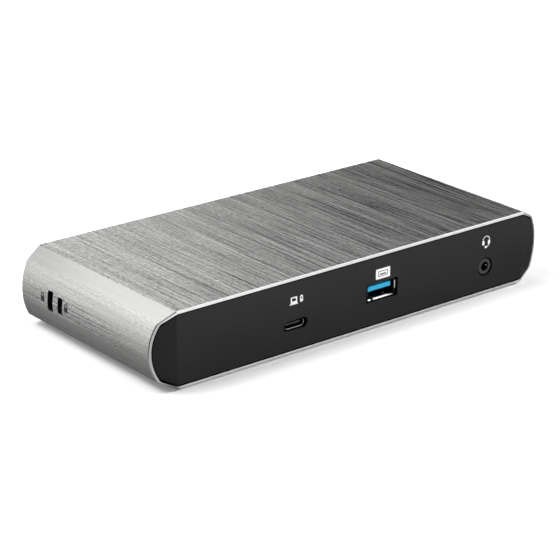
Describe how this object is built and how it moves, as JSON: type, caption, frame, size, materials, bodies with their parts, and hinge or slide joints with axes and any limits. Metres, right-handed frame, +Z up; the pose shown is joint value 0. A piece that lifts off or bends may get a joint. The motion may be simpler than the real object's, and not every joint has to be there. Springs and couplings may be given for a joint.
{
  "type": "laptop docking station",
  "caption": "Flat desktop docking station: a folded aluminium sleeve with swept ends, black end panels and sockets for host, data, audio, video, network and power.",
  "frame": {"origin": "on the table under the middle of the body, level with the underside of the rubber feet", "axes": "+X along the front to the viewer's right, +Y from the front panel to the rear panel, +Z up"},
  "size_m": [0.1844, 0.083, 0.0291],
  "materials": {
    "sleeve_metal": "brushed along the depth, clear anodised",
    "panel_plastic": "fine satin moulding",
    "foot_rubber": "matte",
    "screw_steel": "black zinc",
    "board_screw_steel": "nickel plated",
    "sheet_steel": "zinc plated sheet",
    "standoff_brass": "turned",
    "board_laminate": "solder resist",
    "chip_epoxy": "moulded",
    "pad_silicone": "soft, matte",
    "spreader_metal": "milled",
    "socket_steel": "nickel plated",
    "socket_black": "moulded",
    "tongue_blue": "moulded",
    "contact_gold": "gold flash",
    "bush_grey": "moulded",
    "lamp_clear": "milky light pipe"
  },
  "bodies": {
    "root": {"sleeve": "sleeve_metal", "front_panel": "panel_plastic", "rear_panel": "panel_plastic", "feet": "foot_rubber", "base_screws": "screw_steel", "chassis_tray": "sheet_steel", "front_panel_screws": "screw_steel", "rear_panel_screws": "screw_steel", "lock_plate": "sheet_steel", "lock_plate_screws": "screw_steel", "standoffs": "standoff_brass", "main_board": "board_laminate", "board_screws": "board_screw_steel", "controller_chip": "chip_epoxy", "hub_chips": "chip_epoxy", "thermal_pads": "pad_silicone", "heat_spreader": "spreader_metal", "spreader_screws": "board_screw_steel", "shield_can": "sheet_steel", "inductors": "chip_epoxy", "capacitors": "spreader_metal", "network_transformer": "chip_epoxy", "clock_crystal": "spreader_metal", "host_socket_shell": "socket_steel", "host_socket_tongue": "socket_black", "host_socket_contacts": "contact_gold", "data_socket_shell": "socket_steel", "data_socket_tongue": "tongue_blue", "data_socket_contacts": "contact_gold", "audio_socket_bush": "bush_grey", "audio_socket_body": "socket_black", "audio_socket_contacts": "contact_gold", "power_socket_body": "socket_black", "power_socket_pin": "contact_gold", "power_socket_spring": "contact_gold", "network_socket_shell": "socket_steel", "network_socket_housing": "socket_black", "network_socket_contacts": "contact_gold", "network_socket_lamps": "lamp_clear", "rear_data_shells": "socket_steel", "rear_data_tongues": "tongue_blue", "rear_data_contacts": "contact_gold", "video_socket_shells": "socket_steel", "video_socket_tongues": "socket_black", "video_socket_contacts": "contact_gold", "display_socket_shells": "socket_steel", "display_socket_tongues": "socket_black", "display_socket_contacts": "contact_gold"}
  },
  "joints": []
}
